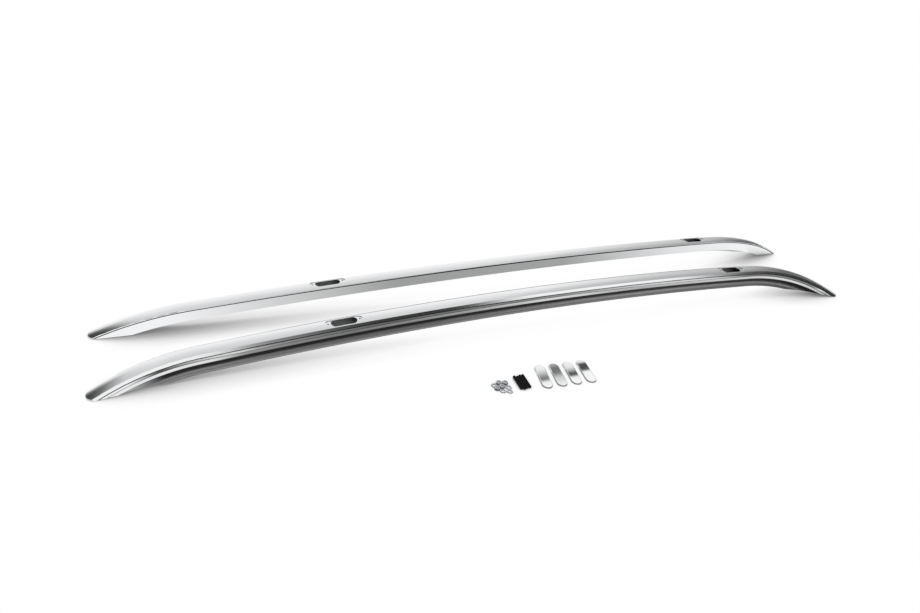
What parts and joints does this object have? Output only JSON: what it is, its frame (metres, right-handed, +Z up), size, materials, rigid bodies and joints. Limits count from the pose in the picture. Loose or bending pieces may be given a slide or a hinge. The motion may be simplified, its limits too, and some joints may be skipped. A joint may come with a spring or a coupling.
{
  "type": "roof side rail pair",
  "caption": "Bowed aluminium side rails for a car roof, ribbed outside and domed on top, with access slots, loose cover plates, studs, nuts and washers.",
  "frame": {"origin": "centre of the bounding box of the pair and its kit, on the floor that the rails' tips stand on", "axes": "+X along the rails from the front tips to the rear tips, +Y from the kit towards the far rail, +Z up"},
  "size_m": [1.7771, 0.4256, 0.0937],
  "materials": {
    "rail": "polished and anodised",
    "cover": "mirror polished",
    "stud": "black oxide",
    "fastener": "bright zinc"
  },
  "bodies": {
    "root": {"near_rail": "rail", "far_rail": "rail", "cover_1": "cover", "cover_2": "cover", "cover_3": "cover", "cover_4": "cover", "stud_1": "stud", "stud_2": "stud", "stud_3": "stud", "stud_4": "stud", "washer_1": "fastener", "washer_2": "fastener", "washer_3": "fastener", "washer_4": "fastener", "nut_1": "fastener", "nut_2": "fastener", "nut_3": "fastener", "nut_4": "fastener"}
  },
  "joints": []
}
